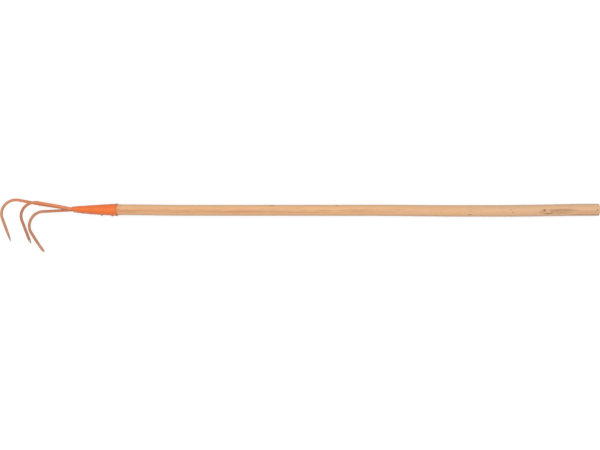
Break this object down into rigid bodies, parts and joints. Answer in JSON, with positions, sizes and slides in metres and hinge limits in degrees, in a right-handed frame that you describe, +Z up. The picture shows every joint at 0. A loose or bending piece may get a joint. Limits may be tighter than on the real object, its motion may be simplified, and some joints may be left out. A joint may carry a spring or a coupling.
{
  "type": "claw cultivator",
  "caption": "Long wooden handle in a rolled sheet socket that grips hooked, pointed tines fanned for loosening soil.",
  "frame": {"origin": "on the floor under the middle of the tool's box, with the tool lying on its right side", "axes": "+X along the handle towards the butt, +Y away from the points, +Z up from the floor"},
  "size_m": [1.4064, 0.1264, 0.0714],
  "materials": {
    "wood": "light hardwood, turned and lightly sealed",
    "socket_paint": "bright orange paint, satin",
    "tine_paint": "orange paint worn to bare grey steel at the points",
    "nail_steel": "dull, partly painted over",
    "weld_paint": "painted weld"
  },
  "bodies": {
    "root": {"handle": "wood", "socket": "socket_paint", "tine_centre": "tine_paint", "tine_left": "tine_paint", "tine_right": "tine_paint", "nail_rear": "nail_steel", "nail_front": "nail_steel", "seam_weld": "weld_paint", "neck_weld": "weld_paint"}
  },
  "joints": []
}
